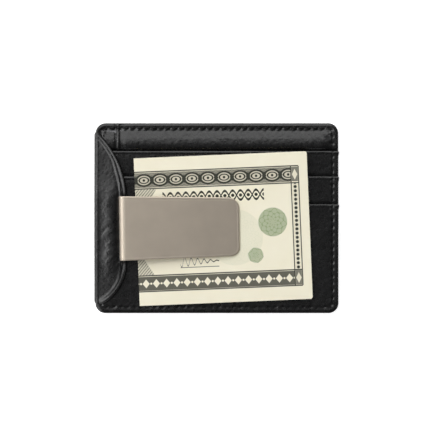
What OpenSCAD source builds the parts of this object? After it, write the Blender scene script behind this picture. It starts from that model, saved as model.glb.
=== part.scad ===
// Front-pocket wallet: leather card holder with a spring-steel money clip and a folded note.
// It lies on its back. X is the width, Y the height and Z the thickness.
// The origin is the centre of the underside.

/* [Body] */
// Overall width, over the wrapped left edge
body_w = 110; // [104:0.5:124]
// Overall height
body_h = 85; // [80:0.5:100]
// Radius of the outer corners
corner_r = 4.5; // [2:0.5:7]
// Thickness of the outer leather
leather_t = 0.8; // [0.6:0.1:1.2]
// Width of the sewn seam round the body
seam_w = 3; // [2.6:0.1:4]
// Width of the panel under the flap, from the overall left edge to the board's edge
spine_w = 10; // [8:0.5:12]
// Distance of the stitch channel from the edge
stitch_inset = 2.1; // [1.5:0.1:2.2]
// Width of the stitch channel
stitch_w = 0.6; // [0.4:0.1:0.8]

/* [Inner layers] */
// Thickness of the lining fabric
lining_t = 0.15; // [0.1:0.05:0.3]
// Thickness of the stiffener board
stiffener_t = 0.6; // [0.4:0.1:1]
// Thickness of the foam padding
padding_t = 0.8; // [0.5:0.1:2]
// Play between an inner layer and the seam round it
layer_play = 0.2; // [0.1:0.05:0.5]

/* [Card slots] */
// Thickness of the leather of the slots
strip_t = 0.6; // [0.5:0.1:0.9]
// Play in an empty slot
card_play = 0.1; // [0.05:0.05:0.4]
// Distance of the first lip from the top edge
first_lip = 12.4; // [10:0.2:15]
// Step from the first lip to the second
second_step = 11.5; // [9.5:0.1:14]
// Step from the second lip to the third
third_step = 12.5; // [9.5:0.1:14]
// How far a slot's leather runs down behind the next lip
lap = 12; // [10:0.5:13]
// Depth of a slot's lining below its lip
slot_depth = 46; // [40:1:50]
// Distance of the crease below a lip
crease_inset = 1.6; // [1.2:0.1:2.5]

/* [Window pocket] */
// Distance of the window pocket's lip from the top edge
window_lip = 24; // [20:0.5:30]
// Width of the window
window_w = 76; // [60:1:80]
// Height of the window
window_h = 43; // [30:1:46]
// Radius of the window's corners
window_r = 3; // [1:0.5:6]
// Thickness of the clear sheet
sheet_t = 0.25; // [0.15:0.05:0.4]
// How far the clear sheet runs under the frame
sheet_lap = 4; // [2:0.5:5]
// Radius of the thumb notch
thumb_r = 10; // [7:0.5:12]
// Depth of the thumb notch
thumb_depth = 5; // [3:0.5:6]

/* [Flap] */
// Width of the flap at its straight edge
flap_w = 14.8; // [14:0.1:18]
// Distance of the flap's head from the top edge
flap_head_gap = 3.6; // [3:0.1:6]
// Distance of the flap's foot from the bottom edge
flap_foot_gap = 3.8; // [3:0.1:6]
// Width of the flap's head
flap_head_w = 1; // [0.9:0.1:3]
// Width of the flap's foot
flap_foot_w = 4; // [2:0.1:6]
// How far the flap's straight edge runs up from the clip's middle
straight_up = 12.8; // [10:0.2:16]
// How far the flap's straight edge runs down from the clip's middle
straight_down = 15.2; // [12:0.2:16]
// Space between the flap's head and the board below it
flap_head_lift = 0.5; // [0.4:0.1:1.5]
// Thickness of the flap's leather
flap_t = 0.8; // [0.6:0.1:1.2]
// Outer radius of the wrap at the left edge
wrap_r = 1.8; // [1.3:0.1:2.4]
// Width of the wrap's back leg
wrap_leg = 7; // [4:0.5:7.5]
// Width of the flap's turned rim
rim_w = 1.9; // [1.4:0.1:2.2]
// Distance of the outer crease from the flap's edge
rim_crease = 0.9; // [0.6:0.1:1.1]

/* [Clip] */
// Thickness of the spring steel
clip_t = 0.8; // [0.6:0.1:1]
// Width of the clip at its bend
clip_w = 29; // [24:0.5:30]
// Width of the clip at its tip
clip_tip_w = 26.2; // [20:0.2:28]
// Length of the clip from its bend to its tip
clip_l = 54; // [45:0.5:60]
// Distance of the clip's bend from the left edge
clip_x = 11.6; // [11.4:0.1:12]
// Distance of the clip's middle below the third lip
clip_drop = 10.9; // [8:0.1:13]
// Tilt of the clip, in degrees
clip_tilt = 0.94; // [0:0.02:1.5]
// Outer radius of the bend
bend_r = 2.4; // [1.8:0.1:3]
// Height of the bend above the flap
bend_rise = 2.4; // [2:0.1:3.5]
// Radius of the tip's corners
tip_r = 3.6; // [1:0.2:6]
// Radius of the upturned tip, seen from the side
flare_r = 12; // [8:1:20]
// Angle through which the tip turns up
flare_a = 6; // [5:1:18]
// Length of the base plate
plate_l = 9; // [8.5:0.1:9.2]
// Radius of the rivet shanks
rivet_r = 1.2; // [0.9:0.1:1.4]
// Distance of each rivet from the clip's middle
rivet_y = 6; // [4:0.5:8]
// Distance of the rivets from the bend
rivet_x = 5.2; // [4.8:0.1:5.6]

/* [Folded note] */
// Width of the folded note
note_w = 77.7; // [60:0.1:82]
// Height of the note
note_h = 66.3; // [50:0.5:70]
// Tilt of the note, in degrees
note_tilt = 2.4; // [0:0.2:3]
// Middle of the note across the body
note_x = 3.2; // [3:0.1:5]
// Middle of the note up the body
note_y = -4.8; // [-6:0.2:-3]
// Thickness of the paper
paper_t = 0.12; // [0.1:0.02:0.2]
// Space inside the fold
fold_gap = 0.4; // [0.2:0.05:0.8]

/* [Hidden] */
$fn = 64;
eps = 0.01;
cut = 40;                       // longer than any cut has to be
channel_d = 0.2;                // depth of the stitch channels
crease_w = 0.35;                // width of the pressed creases
crease_d = 0.15;                // depth of the pressed creases
slide_play = 0.1;               // play over and under the note
slot_play = 0.3;                // play round the clip in the flap's slit
slope_start = 1;                // distance from the clip to where the flap starts to slope down
seat_play = 0.03;               // play in the seat that the clip flexes in
seat_rise = 0.35;               // height of that seat's middle above the base plate's bend
tail_round = 2;                 // radius of the base plate's corners
plate_bend_r = 0.3;             // inner radius of the base plate's bend
tip_ease = 0.06;                // how far the tip's corner arcs stand out past its sides
rivet_head = 0.9;               // how far the countersunk heads stand out past the shanks
rivet_head_r = rivet_r + rivet_head;
rivet_tail_t = 0.35;            // thickness of the clenched tails

inner_inset = seam_w + layer_play;

// Edges in plan
left = -body_w / 2;
right = body_w / 2;
top = body_h / 2;
bottom = -body_h / 2;
panel_left = left + flap_t;     // where the panels end under the wrap
lip_1 = top - first_lip;
lip_2 = lip_1 - second_step;
lip_3 = lip_2 - third_step;
lap_w = 4;                      // width of the lap between spine panel and board
board_left = left + spine_w;    // left edge of the board, beside the spine panel

// Levels of the layers, from the back to the front
sheet_z = leather_t;
back_z = leather_t + flap_t;
lining_z = back_z + leather_t;
stiffener_z = lining_z + lining_t;
padding_z = stiffener_z + stiffener_t;
board_z = padding_z + padding_t;
board_top = board_z + leather_t;
slot_step = lining_t + card_play + strip_t;
plate_z = board_top + 3 * slot_step;
flap_z = plate_z + clip_t;
flap_top = flap_z + flap_t;

// Lips and tops of the board and the three slots
lips = [top, lip_1, lip_2, lip_3];
ends = [bottom, lip_2 - lap, lip_3 - lap, bottom];
function level(slot) = board_top + slot * slot_step;

// Outline of the flap
clip_y = lip_3 - clip_drop;
flap_edge = left + flap_w;
flap_head = top - flap_head_gap;
flap_foot = bottom + flap_foot_gap;
straight_top = clip_y + straight_up;
straight_bottom = clip_y - straight_down;
// Radius of the arc that leaves an upright edge and passes dx beside and dy beyond its end
function arc_r(dx, dy) = (dx * dx + dy * dy) / (2 * dx);
slope_y = clip_y + clip_w / 2 + slope_start;
head_slope = atan((flap_z - board_top - flap_head_lift) / (flap_head - slope_y));
head_r = arc_r(flap_w - flap_head_w, flap_head - straight_top);
foot_r = arc_r(flap_w - flap_foot_w, straight_bottom - flap_foot);

// The clip, from its bend
bend_x = left + clip_x;
bend_z = flap_top + bend_rise - bend_r;
bend_inner = bend_r - clip_t;
axis_z = flap_z + plate_bend_r + seat_rise;
note_z = plate_z + slide_play;
note_t = 2 * paper_t + fold_gap;
flare_l = (flare_r + clip_t) * sin(flare_a);
blade_l = clip_l - bend_r - flare_l;
slope = asin((bend_z + bend_inner - (note_z + note_t + slide_play)) / blade_l);
taper = atan((clip_w - clip_tip_w) / 2 / clip_l);

black = [0.1, 0.1, 0.105];
deep_black = [0.07, 0.07, 0.075];

// ---- Shapes that several pieces share ----

module rounded_plan(x0, y0, x1, y1, r) {
    translate([x0 + r, y0]) square([x1 - x0 - 2 * r, y1 - y0]);
    translate([x0, y0 + r]) square([x1 - x0, y1 - y0 - 2 * r]);
    for (x = [x0 + r, x1 - r], y = [y0 + r, y1 - r]) translate([x, y]) circle(r);
}

// The body's outline, drawn in by inset
module body_plan(inset = 0) {
    rounded_plan(panel_left + inset, bottom + inset, right - inset, top - inset,
                 max(corner_r - inset, 0.5));
}

// The part of the body's outline from y0 up to y1
module body_band(y0, y1, inset = 0) {
    intersection() {
        body_plan(inset);
        translate([left, y0]) square([body_w, y1 - y0]);
    }
}

// A slab of the body from level z, t thick, between y0 and y1
module slab(z, t, y0 = bottom, y1 = top, inset = 0) {
    translate([0, 0, z]) linear_extrude(t) body_band(y0, y1, inset);
}

// The seam band round the body from level z, t thick, between y0 and y1
module seam(z, t, y0 = bottom, y1 = top) {
    if (t > eps && y1 > y0) {
        translate([0, 0, z]) linear_extrude(t) difference() {
            body_band(y0, y1);
            body_plan(seam_w);
        }
    }
}

// The groove that the stitches lie in, cut from level z upwards by t
module stitch_channel(z, t) {
    translate([0, 0, z]) linear_extrude(t) difference() {
        body_plan(stitch_inset - stitch_w / 2);
        body_plan(stitch_inset + stitch_w / 2);
    }
}

// The crease pressed along a lip, below level z
module lip_crease(y, z) {
    translate([panel_left + seam_w, y - crease_inset - crease_w / 2, z - crease_d])
        cube([body_w - 2 * seam_w - flap_t, crease_w, 1]);
}

// Puts children at the clip, whose X runs from its bend to its tip
module at_clip() {
    translate([bend_x, clip_y, 0]) rotate(clip_tilt) children();
}

module rivet_places() {
    at_clip() for (y = [-rivet_y, rivet_y]) translate([-rivet_x, y, 0]) children();
}

module rivet_holes() {
    rivet_places() translate([0, 0, board_z - cut / 2]) cylinder(r = rivet_r, h = cut);
}

// ---- Back ----

module window_plan(grow = 0) {
    middle = (bottom + top - window_lip - thumb_depth) / 2;
    rounded_plan(-window_w / 2 - grow, middle - window_h / 2 - grow,
                 window_w / 2 + grow, middle + window_h / 2 + grow, window_r + grow);
}

module id_window_frame() {
    lip = top - window_lip;
    color(black) difference() {
        union() {
            slab(0, leather_t, bottom, lip);
            seam(sheet_z, flap_t, bottom, lip);
        }
        translate([left, flap_foot, sheet_z]) cube([wrap_leg, body_h, cut]);
        translate([0, 0, -eps]) linear_extrude(leather_t + 2 * eps) window_plan();
        translate([0, lip - thumb_depth + thumb_r, -eps]) cylinder(r = thumb_r, h = leather_t + 2 * eps);
        stitch_channel(-1, 1 + channel_d);
    }
}

module id_window_sheet() {
    color([0.8, 0.85, 0.88, 0.4])
        translate([0, 0, sheet_z]) linear_extrude(sheet_t) intersection() {
            window_plan(sheet_lap);
            body_plan(inner_inset);
        }
}

module back_panel() {
    color(black) difference() {
        slab(back_z, leather_t);
        intersection() {
            stitch_channel(back_z - 1, 1 + channel_d);
            translate([left, top - window_lip, 0]) cube([body_w, window_lip, back_z + leather_t]);
        }
    }
}

// ---- Layers inside ----

module back_lining() {
    color([0.12, 0.12, 0.13]) slab(lining_z, lining_t, inset = inner_inset);
}

module stiffener_board() {
    color([0.55, 0.45, 0.33]) slab(stiffener_z, stiffener_t, inset = inner_inset);
}

// The foam has a clearance hole round each rivet's tail
module padding_sheet() {
    color([0.3, 0.3, 0.32]) difference() {
        slab(padding_z, padding_t, inset = inner_inset);
        rivet_places() translate([0, 0, padding_z - eps])
            cylinder(r = rivet_head_r + layer_play, h = padding_t + 2 * eps);
    }
}

// ---- Front ----

// The leather under the flap. Its right edge is pared to half thickness, under the board's.
module spine_panel() {
    color(black) difference() {
        union() {
            slab(board_z, leather_t);
            seam(lining_z, board_z - lining_z);
        }
        translate([board_left, bottom - 1, board_z + leather_t / 2]) cube([body_w, body_h + 2, 1]);
        translate([board_left + lap_w, bottom - 1, 0]) cube([body_w, body_h + 2, cut]);
        stitch_channel(board_top - channel_d, 1);
        rivet_holes();
    }
}

// The leather behind the card slots, which shows above the first lip
module front_board() {
    color(black) difference() {
        union() {
            slab(board_z, leather_t);
            seam(lining_z, board_z - lining_z);
        }
        translate([board_left - body_w, bottom - 1, 0]) cube([body_w, body_h + 2, cut]);
        translate([left, bottom - 1, 0])
            cube([board_left + lap_w - left, body_h + 2, board_z + leather_t / 2]);
        stitch_channel(board_top - channel_d, 1);
        translate([board_left + crease_inset, lip_1, board_top - crease_d])
            cube([crease_w, top - lip_1 + 1, 1]);
    }
}

// A slot's fabric back, from just under the lip to the bottom of the slot
module slot_lining(slot) {
    under = level(slot - 1);
    low = max(lips[slot] - slot_depth, bottom + inner_inset);
    color([0.14, 0.14, 0.15]) intersection() {
        slab(under, lining_t, low, lips[slot] - crease_inset, inner_inset);
        translate([flap_edge, bottom, 0]) cube([body_w, body_h, cut]);
    }
}

// A slot's leather: its lip is open, and its seam reaches down to what it is sewn to
module slot_panel(slot) {
    z = level(slot) - strip_t;
    below = slot == 1 ? bottom : lips[slot] - lap;
    color(slot == 3 ? deep_black : black) difference() {
        union() {
            slab(z, strip_t, ends[slot], lips[slot]);
            seam(level(slot - 1), z - level(slot - 1), max(ends[slot], below), lips[slot]);
            seam(board_top, z - board_top, ends[slot], below);
        }
        stitch_channel(level(slot) - channel_d, 1);
        lip_crease(lips[slot], level(slot));
        rivet_holes();
    }
}

// ---- Flap ----

// The half-moon outline, drawn in by inset from its curved edge
module flap_plan(inset = 0) {
    translate([left, straight_bottom]) square([flap_w - inset, straight_top - straight_bottom]);
    intersection() {
        translate([left, straight_top]) square([flap_w, flap_head - inset / 2 - straight_top]);
        translate([flap_edge - head_r, straight_top]) circle(head_r - inset, $fn = 128);
    }
    intersection() {
        translate([left, flap_foot + inset / 2]) square([flap_w, straight_bottom - flap_foot - inset / 2]);
        translate([flap_edge - foot_r, straight_bottom]) circle(foot_r - inset, $fn = 128);
    }
}

// Side view of the wrap: back leg, left edge and front, with two round corners
module wrap_section() {
    difference() {
        union() {
            translate([left + wrap_r, sheet_z]) square([body_w / 2, flap_top - sheet_z]);
            translate([left, sheet_z + wrap_r]) square([wrap_r, flap_top - sheet_z - 2 * wrap_r]);
            for (z = [sheet_z + wrap_r, flap_top - wrap_r]) translate([left + wrap_r, z]) circle(wrap_r);
        }
        translate([panel_left, back_z]) square([body_w, flap_z - back_z]);
    }
}

module wrap_band() {
    translate([0, top, 0]) rotate([90, 0, 0]) linear_extrude(body_h) wrap_section();
}

// Everything under the flap's face, far down, with the round corner at its left
module front_block() {
    translate([0, top, 0]) rotate([90, 0, 0]) linear_extrude(body_h) {
        translate([left + wrap_r, -cut]) square([body_w / 2, cut + flap_top]);
        translate([left, -cut]) square([wrap_r, cut + flap_top - wrap_r]);
        translate([left + wrap_r, flap_top - wrap_r]) circle(wrap_r);
    }
}

// Everything under the flap's leather
module front_hollow() {
    translate([panel_left, bottom - 1, -cut]) cube([body_w, body_h + 2, cut + flap_z]);
}

// Tips children down about the line where the flap starts to slope to its head
module tipped() {
    translate([0, slope_y, flap_top]) rotate([-head_slope, 0, 0]) translate([0, -slope_y, -flap_top])
        children();
}

// Children as far as they stay under their tipped copy: level beside the clip, sloping beyond it
module sloping() {
    intersection() {
        children();
        tipped() children();
    }
}

// The space above the flap's face, from depth below it
module above_flap(depth) {
    module space() {
        translate([left - 1, bottom - 1, flap_top - depth]) cube([body_w, body_h + 2, cut]);
    }
    space();
    tipped() space();
}

// The wrapped leather, from its back leg round the left edge to the face
module flap_skin() {
    intersection() {
        wrap_band();
        translate([left, flap_foot, 0]) cube([wrap_leg, flap_head - flap_foot, board_z + eps]);
    }
    difference() {
        intersection() {
            sloping() front_block();
            translate([0, 0, board_z]) linear_extrude(cut) flap_plan();
        }
        sloping() front_hollow();
    }
}

module clip_slit() {
    at_clip() translate([-slot_play, -clip_w / 2 - slot_play, plate_z])
        cube([clip_t + 2 * slot_play, clip_w + 2 * slot_play, cut]);
}

// The turned rim, which comes down to the leather below it at every step of the slots
module flap_rim() {
    floors = [for (slot = [0:3]) [level(slot), slot == 3 ? bottom : lips[slot + 1], lips[slot]]];
    difference() {
        for (f = floors) {
            translate([0, 0, f[0]]) linear_extrude(flap_z - f[0] + eps) intersection() {
                difference() {
                    flap_plan();
                    flap_plan(rim_w);
                }
                translate([panel_left, f[1]]) square([body_w, f[2] - f[1]]);
            }
        }
        above_flap(flap_t / 2);
    }
}

module flap_creases() {
    for (inset = [rim_crease, rim_w]) {
        intersection() {
            translate([0, 0, board_top]) linear_extrude(cut) difference() {
                flap_plan(inset);
                flap_plan(inset + crease_w);
            }
            above_flap(crease_d);
        }
    }
}

module flap() {
    color([0.11, 0.11, 0.115]) difference() {
        union() {
            flap_skin();
            flap_rim();
        }
        clip_slit();
        flap_creases();
    }
}

// Board that fills the flap round the clip's base plate
module flap_reinforcement() {
    color([0.5, 0.42, 0.32]) difference() {
        translate([0, 0, plate_z]) linear_extrude(clip_t) intersection() {
            flap_plan(rim_w + layer_play);
            body_plan(layer_play);
            translate([left, bottom]) square([body_w, lip_3 - bottom]);
        }
        at_clip() translate([-plate_l - layer_play, -clip_w / 2 - layer_play, plate_z - eps])
            cube([plate_l + clip_t + 2 * layer_play, clip_w + 2 * layer_play, cut]);
        clip_slit();
    }
}

// ---- Clip ----

// Quarter ring round the origin, from the direction of -X to that of +Y
module quarter_ring(inner, outer) {
    intersection() {
        difference() {
            circle(outer);
            circle(inner);
        }
        translate([-outer, 0]) square(outer);
    }
}

// Turns a side view, drawn in X and Z, into a strip w wide
module clip_strip(w = clip_w) {
    translate([0, w / 2, 0]) rotate([90, 0, 0]) linear_extrude(w) children();
}

module clip_base_plate() {
    color([0.66, 0.62, 0.58]) at_clip() difference() {
        intersection() {
            clip_strip() difference() {
                union() {
                    translate([-plate_l, plate_z]) square([plate_l - plate_bend_r, clip_t]);
                    translate([-plate_bend_r, flap_z + plate_bend_r]) rotate(180)
                        quarter_ring(plate_bend_r, plate_bend_r + clip_t);
                    translate([0, flap_z + plate_bend_r]) square([clip_t, axis_z - flap_z - plate_bend_r]);
                }
                translate([clip_t / 2, axis_z]) circle(clip_t / 2 + seat_play);
            }
            translate([0, 0, plate_z - 1]) linear_extrude(cut)
                rounded_plan(-plate_l, -clip_w / 2, plate_l, clip_w / 2, tail_round);
        }
        for (y = [-rivet_y, rivet_y]) translate([-rivet_x, y, plate_z - eps])
            cylinder(r1 = rivet_r, r2 = rivet_head_r, h = clip_t + 2 * eps);
    }
}

// Countersunk rivets that hold the base plate to the slots and the spine panel
module clip_rivets() {
    color([0.7, 0.68, 0.64]) rivet_places() {
        translate([0, 0, plate_z]) cylinder(r1 = rivet_r, r2 = rivet_head_r, h = clip_t);
        translate([0, 0, board_z - eps]) cylinder(r = rivet_r, h = plate_z - board_z + eps);
        translate([0, 0, board_z - rivet_tail_t]) cylinder(r = rivet_head_r, h = rivet_tail_t);
    }
}

// The clip in plan: straight sides that close in, and a tip whose corners are rounded off
module clip_plan() {
    corner_x = clip_l - tip_r + tip_ease;
    corner_y = clip_w / 2 - corner_x * tan(taper) - tip_r + tip_ease;
    difference() {
        polygon([[-1, clip_w / 2 + tan(taper)], [clip_l, clip_tip_w / 2],
                 [clip_l, -clip_tip_w / 2], [-1, -clip_w / 2 - tan(taper)]]);
        for (side = [0, 1]) mirror([0, side]) translate([corner_x, corner_y]) difference() {
            square(2 * tip_r);
            circle(tip_r);
        }
    }
}

// The part of a ring round the origin that lies inside the wedge of the outline given
module ring_part(inner, outer, outline) {
    intersection() {
        difference() {
            circle(outer, $fn = 128);
            circle(inner, $fn = 128);
        }
        polygon(outline);
    }
}

// The clip seen from the side: round foot, web, bend, sloping blade and upturned tip
module clip_section() {
    far = 2 * flare_r;
    translate([clip_t / 2, axis_z]) circle(clip_t / 2);
    translate([0, axis_z]) square([clip_t, bend_z - axis_z]);
    translate([bend_r, bend_z]) {
        ring_part(bend_inner, bend_r, [[0, 0], [-far, 0], [-far, far], [far * tan(slope), far]]);
        rotate(-slope) {
            translate([0, bend_inner]) square([blade_l, clip_t]);
            translate([blade_l, bend_r + flare_r])
                ring_part(flare_r, flare_r + clip_t, [[0, 0], [0, -far], [far * tan(flare_a), -far]]);
        }
    }
}

module clip_leaf() {
    color([0.66, 0.62, 0.58]) at_clip() intersection() {
        clip_strip(clip_w + 2) clip_section();
        linear_extrude(cut) clip_plan();
    }
}

// ---- Note ----

// A note folded once: two leaves and a round fold on the left
module folded_note() {
    outer_r = note_t / 2;
    color([0.93, 0.9, 0.78]) translate([note_x, note_y, note_z]) rotate(note_tilt)
        translate([-note_w / 2, note_h / 2, 0]) rotate([90, 0, 0]) linear_extrude(note_h) {
            for (z = [0, note_t - paper_t]) translate([outer_r, z]) square([note_w - outer_r, paper_t]);
            translate([outer_r, outer_r]) {
                quarter_ring(outer_r - paper_t, outer_r);
                mirror([0, 1]) quarter_ring(outer_r - paper_t, outer_r);
            }
        }
}

id_window_frame();
id_window_sheet();
back_panel();
back_lining();
stiffener_board();
padding_sheet();
spine_panel();
front_board();
slot_lining(1);  // slot_1_lining
slot_panel(1);  // slot_1_panel
slot_lining(2);  // slot_2_lining
slot_panel(2);  // slot_2_panel
slot_lining(3);  // slot_3_lining
slot_panel(3);  // slot_3_panel
flap_reinforcement();
flap();
clip_base_plate();
clip_rivets();
clip_leaf();
folded_note();
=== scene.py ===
from functools import partialmethod, reduce
from math import acos, asin, cos, inf, pi, radians, sin

import bpy
import numpy as np
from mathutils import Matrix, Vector


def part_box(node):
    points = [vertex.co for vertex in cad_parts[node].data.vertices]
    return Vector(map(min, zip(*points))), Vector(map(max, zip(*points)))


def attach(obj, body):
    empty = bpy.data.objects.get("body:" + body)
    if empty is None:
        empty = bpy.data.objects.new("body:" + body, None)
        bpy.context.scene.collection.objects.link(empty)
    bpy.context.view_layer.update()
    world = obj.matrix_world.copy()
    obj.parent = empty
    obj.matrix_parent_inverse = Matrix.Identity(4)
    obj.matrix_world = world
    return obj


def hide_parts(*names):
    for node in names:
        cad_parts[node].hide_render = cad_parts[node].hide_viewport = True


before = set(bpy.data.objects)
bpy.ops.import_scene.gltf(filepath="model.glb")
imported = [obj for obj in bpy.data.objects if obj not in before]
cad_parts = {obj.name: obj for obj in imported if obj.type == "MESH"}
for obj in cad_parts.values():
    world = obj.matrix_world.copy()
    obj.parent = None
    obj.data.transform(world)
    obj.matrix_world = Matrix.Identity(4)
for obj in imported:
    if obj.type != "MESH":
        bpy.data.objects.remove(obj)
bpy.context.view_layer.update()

# ---- sizes, in mm, measured on the frame or as in part.scad


def low(node):
    return np.array(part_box(node)[0]) * 1000


def high(node):
    return np.array(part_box(node)[1]) * 1000


TOP, RIGHT, PANEL_LEFT = high("back_panel")[1], high("back_panel")[0], low("back_panel")[0]
BOTTOM = -TOP
CORNER = 4.5                          # radius of the body's corners
BOARD_LEFT = low("front_board")[0]
# Y of the head and of the three slots' lips, and the height of the leather below each
LIPS = [TOP] + [high(f"slot_{n}_panel")[1] for n in (1, 2, 3)]
LEVELS = [high("front_board")[2]] + [high(f"slot_{n}_panel")[2] for n in (1, 2, 3)]
STRIP, LEATHER = 0.6, 0.8             # thickness of the slots' leather and of the rest
SEWN_W = 3.0                          # width of the sewn edge
LEFT, FOOT_Y = low("flap")[:2]
FLAP_EDGE, HEAD_Y, FLAP_TOP = high("flap")
FLAP_LEG = 7.0                        # length of its leg under the back
CLIP_T, CLIP_W, CLIP_TIP_W, CLIP_L = 0.8, 29.0, 26.2, 54.0
CLIP_X, CLIP_Y, CLIP_TILT = LEFT + 11.6, LIPS[3] - 10.9, radians(0.94)
NOTE_W, NOTE_H, NOTE_TILT = 77.7, 66.3, radians(2.4)
NOTE_X, NOTE_Y = 3.2, -4.8            # the note's middle
POCKET_LIP = TOP - 24                 # the window pocket on the back
THUMB_R, THUMB_DIP = 10, 5            # the thumb notch in its lip
WINDOW_Y = (BOTTOM + POCKET_LIP - THUMB_DIP) / 2
WINDOW_HALF_W, WINDOW_HALF_H, WINDOW_R = 38.0, 21.5, 3.0

# ---- numeric helpers


def smooth(a, b, x):
    """0 at a, 1 at b and an even curve between them."""
    t = np.clip((x - a) / (b - a), 0, 1)
    return t * t * (3 - 2 * t)


def bell(x, middle, width):
    return np.exp(-(((x - middle) / width) ** 2))


def noise(x, y, size, seed):
    """Smooth value noise from -1 to 1 with cells of the given size."""
    cells = 256
    grid = np.random.default_rng(seed).uniform(-1, 1, (cells + 1, cells + 1))
    u, v = np.asarray(x) / size + 97.3, np.asarray(y) / size + 61.7    # clear of the grid's corner
    i, j = np.floor(u).astype(int), np.floor(v).astype(int)
    fu, fv = u - i, v - j
    fu, fv = fu * fu * (3 - 2 * fu), fv * fv * (3 - 2 * fv)
    i, j = i % cells, j % cells
    a = grid[i, j] * (1 - fu) + grid[i + 1, j] * fu
    b = grid[i, j + 1] * (1 - fu) + grid[i + 1, j + 1] * fu
    return a * (1 - fv) + b * fv


def wrinkled(x, y, size, seed):
    return (noise(x, y, size, seed) + 0.5 * noise(x, y, size / 2.1, seed + 1)
            + 0.25 * noise(x, y, size / 4.3, seed + 2)) / 1.75


def drop(d, r):
    """How far a rounded edge of radius r has dropped at distance d inside it."""
    t = np.clip(1 - d / r, 0, 1)
    return r * (1 - np.sqrt(np.clip(1 - t * t, 0, 1)))


def profile(points, soften):
    """A smooth curve through (distance, height) points, as a function."""
    points = np.array(points, float)
    step, reach, beyond = 0.02, 60, 2
    x = np.arange(points[0, 0] - beyond, points[-1, 0] + beyond, step)
    y = np.interp(x, points[:, 0], points[:, 1])
    k = np.exp(-(np.arange(-reach, reach + 1) * step / soften) ** 2)
    y = np.convolve(np.pad(y, reach, mode="edge"), k / k.sum(), "valid")
    return lambda d: np.interp(d, x, y)


def averaged(z, reach):
    """A row of heights, each the mean of those within reach places of it."""
    span = 2 * reach + 1
    return np.convolve(np.pad(z, reach, mode="edge"), np.ones(span) / span, "valid")


def lines(a, b, step, fine, near, fine_step):
    """Grid lines from a to b, closer together within `near` of each value in `fine`."""
    out, x = [a], a
    while x < b - 1e-6:
        gap = min(abs(x - f) for f in fine)
        s = fine_step if gap < near else min(step, fine_step + (gap - near) * 0.35)
        x = min(b, x + s)
        out.append(x)
    return np.array(out)


EDGE = np.array([0, 0.015, 0.05, 0.1, 0.17, 0.26, 0.36])      # the rows that a rounded edge needs


def with_edges(values, at_low=True, at_high=True):
    """Adds the rows of a rounded edge at the ends of a line of values."""
    a, b = values[0], values[-1]
    keep = values[(values > a + 0.42 * at_low) & (values < b - 0.42 * at_high)]
    head = a + EDGE if at_low else [a]
    tail = (b - EDGE)[::-1] if at_high else [b]
    return np.concatenate([head, keep, tail])


def unit(v):
    return v / np.hypot(*v.T)[:, None]


def turned(x, y, angle):
    """X and Y of points in axes that are turned by an angle."""
    c, s = cos(angle), sin(angle)
    return x * c + y * s, y * c - x * s


def arc(cx, cy, r, a0, a1, n):
    """n points along an arc from angle a0 to angle a1."""
    return [(cx + r * cos(a), cy + r * sin(a)) for a in np.linspace(a0, a1, n)]


def path_length(points):
    """The distance along a path up to each of its points."""
    return np.concatenate([[0], np.cumsum(np.hypot(*np.diff(points, axis=0).T))])


def along_path(at, points, s):
    """X and Y of a path at given distances; s is its path_length."""
    return [np.interp(at, s, points[:, k]) for k in (0, 1)]


def outside_box(x, y, cx, cy, half_w, half_h, r):
    """Distance outside a rectangle with round corners; negative inside it."""
    qx, qy = np.abs(x - cx) - (half_w - r), np.abs(y - cy) - (half_h - r)
    return np.hypot(np.maximum(qx, 0), np.maximum(qy, 0)) + np.minimum(np.maximum(qx, qy), 0) - r


def body_distance(x, y):
    """Distance inside the body's rounded outline."""
    return -outside_box(x, y, (PANEL_LEFT + RIGHT) / 2, 0, (RIGHT - PANEL_LEFT) / 2, TOP, CORNER)


def sides(x, y):
    """How much a point belongs to the top, right, bottom and left edges."""
    w = [np.exp(-np.clip(d, 0, 60) / 1.3)
         for d in (TOP - y, RIGHT - x, y - BOTTOM, x - PANEL_LEFT)]
    total = sum(w) + 1e-30
    return [a / total for a in w]


# ---- the sewn edge

# distance of the seam from the outline, and of its holes from each other
TOP_INSET, RIGHT_INSET, BOTTOM_INSET, LEFT_INSET = 2.15, 2.45, 2.7, 2.3
PITCH = 3.15

# height of the sewn edge against the distance from the body's outline
TOP_EDGE = profile([
    (0, -0.40), (0.35, -0.29), (0.75, -0.22), (1.25, -0.02), (1.4, -0.02), (1.7, -0.40), (2.0, -0.56),
    (2.6, -0.68), (3.1, -0.70), (3.3, -0.66), (3.65, -0.54), (4.1, -0.42), (4.6, -0.30), (5.1, -0.19),
    (5.7, -0.10), (6.3, -0.03), (7, 0)], 0.14)
RIGHT_EDGE = profile([
    (0, -0.20), (0.5, -0.03), (1.0, 0.0), (1.7, -0.05), (2.4, -0.12), (2.8, -0.13), (3.3, -0.02),
    (3.8, 0.0)], 0.16)
BOTTOM_EDGE = profile([
    (0, -0.36), (0.5, -0.20), (0.85, -0.05), (1.05, -0.08), (1.25, -0.03), (1.4, 0.02), (1.55, 0.02),
    (1.95, -0.09), (2.5, -0.10), (3.3, 0.0)], 0.14)


def needle_holes():
    """Points a stitch apart, from under the flap's foot round to under its head."""
    l, r = PANEL_LEFT + LEFT_INSET, RIGHT - RIGHT_INSET
    b, t = BOTTOM + BOTTOM_INSET, TOP - TOP_INSET
    c, quarter = CORNER - 2.0, pi / 2
    pts = [(l, b + 8)]
    for cx, cy, a in ((l + c, b + c, 2), (r - c, b + c, -1), (r - c, t - c, 0), (l + c, t - c, 1)):
        pts += arc(cx, cy, c, a * quarter, (a + 1) * quarter, 24)
    pts = np.array(pts + [(l, t - 6)])
    s = path_length(pts)
    fine = np.linspace(0, s[-1], int(s[-1] / 0.05))
    seam = np.stack(along_path(fine, pts, s), 1)
    return np.stack(along_path(np.arange(0.8, s[-1] - 0.5, PITCH), seam, fine), 1)


HOLES = needle_holes()


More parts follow.
